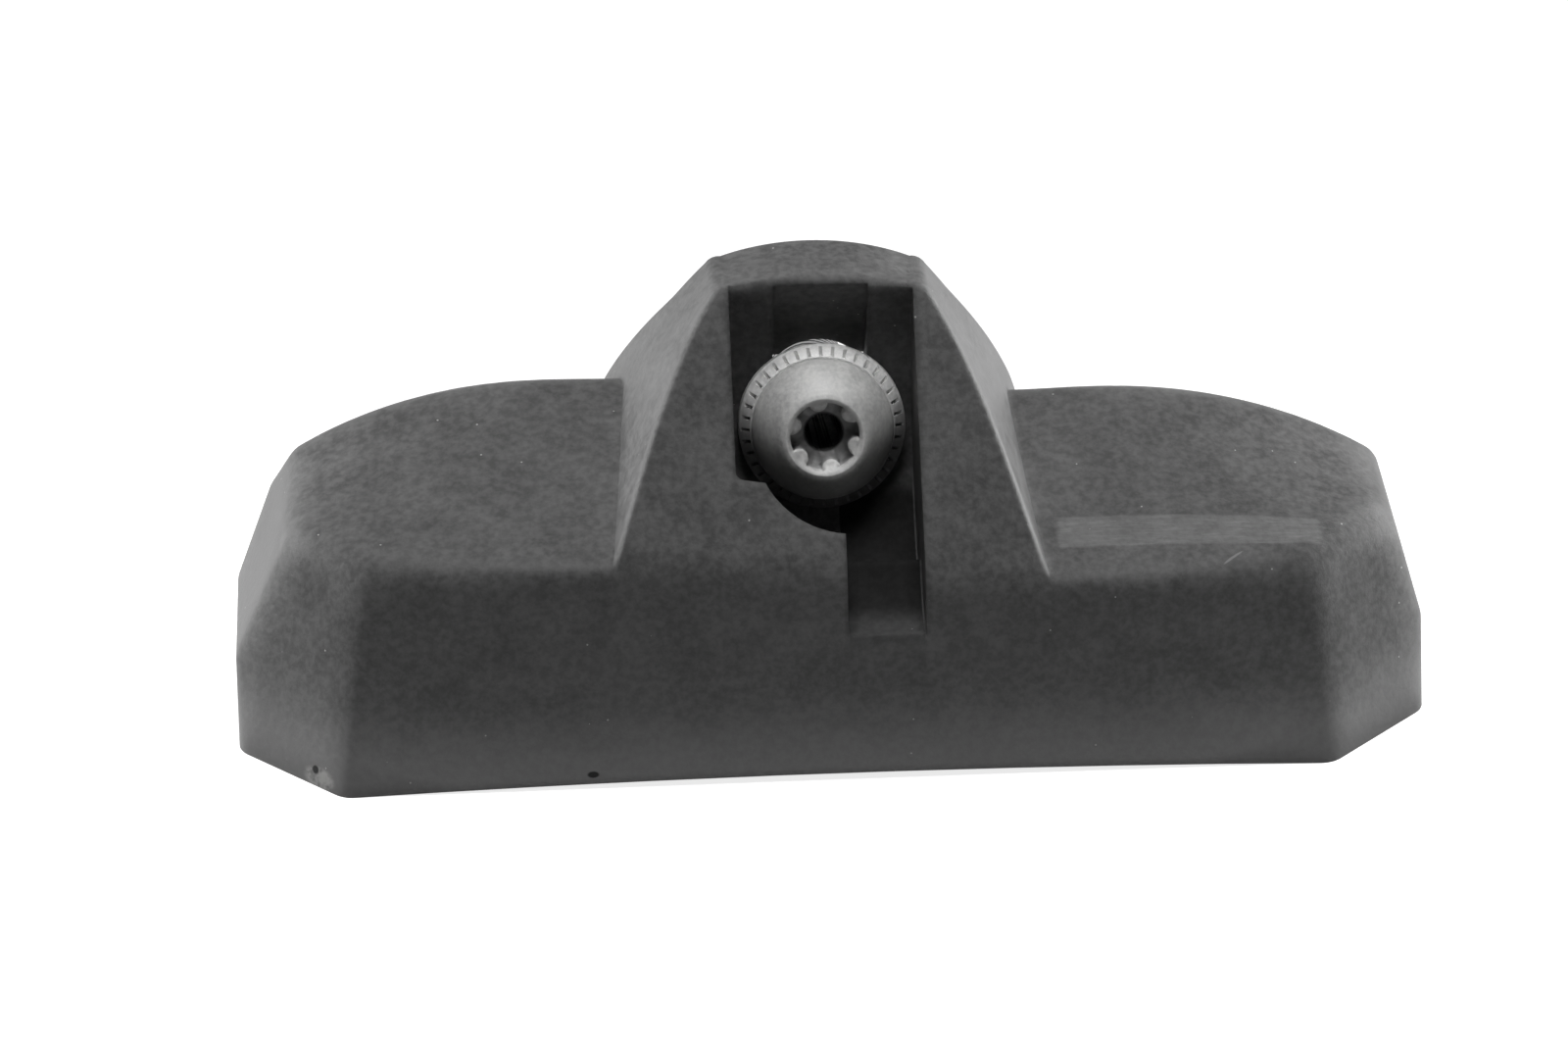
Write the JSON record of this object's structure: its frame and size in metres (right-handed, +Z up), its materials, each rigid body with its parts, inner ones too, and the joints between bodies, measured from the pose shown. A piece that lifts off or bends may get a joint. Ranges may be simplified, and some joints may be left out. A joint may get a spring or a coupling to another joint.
{
  "type": "tyre pressure sensor",
  "caption": "Dark plastic tyre pressure sensor with two sloping wings and a central hump that holds a hollow valve screw on a curved seat.",
  "frame": {"origin": "on the underside, below the axis of the screw and midway in depth, in the plane of the feet at its two ends", "axes": "+X along the housing towards the lower wing, -Y towards the side of the screw head, +Y towards the valve side, +Z up through the hump"},
  "size_m": [0.0665, 0.0285, 0.0255],
  "materials": {
    "shell_plastic": "fine matte glass-filled nylon",
    "cover_plastic": "matte glass-filled nylon",
    "seam_bead": "satin cured sealant",
    "filter_membrane": "fine white membrane",
    "board_laminate": "satin green laminate",
    "cell_steel": "satin nickel-plated steel",
    "cell_gasket": "dull",
    "tab_steel": "satin",
    "chip_epoxy": "matte moulded epoxy",
    "crystal_can": "satin",
    "ferrite": "dull dark grey",
    "copper_wire": "enamelled copper",
    "antenna_metal": "tinned strip",
    "capacitor_body": "dull",
    "screw_steel": "grey plated, turned",
    "washer_steel": "grey plated, stamped"
  },
  "bodies": {
    "shell": {"housing": "shell_plastic", "base_cover": "cover_plastic", "cover_bead": "seam_bead", "port_filter": "filter_membrane", "circuit_board": "board_laminate", "battery_can": "cell_steel", "battery_cap": "cell_steel", "battery_gasket": "cell_gasket", "tab_positive": "tab_steel", "tab_negative": "tab_steel", "sensor_chip": "chip_epoxy", "transmitter_chip": "chip_epoxy", "crystal": "crystal_can", "inductor": "ferrite", "capacitor_a": "capacitor_body", "capacitor_b": "capacitor_body", "capacitor_c": "capacitor_body", "coil_core": "ferrite", "coil_winding": "copper_wire", "antenna_strip": "antenna_metal"},
    "washer": {"seat_washer": "washer_steel"},
    "screw": {"valve_screw": "screw_steel"}
  },
  "joints": [
    {"name": "valve_angle", "type": "hinge", "parent": "shell", "child": "washer", "pos_m": [0, -0.0106, 0.01946], "axis": [1, 0, 0], "range_deg": [0, 6]},
    {"name": "screw_turn", "type": "hinge", "parent": "washer", "child": "screw", "pos_m": [0, -0.00087, 0.01676], "axis": [0, -0.9636, 0.2672], "continuous": true}
  ]
}
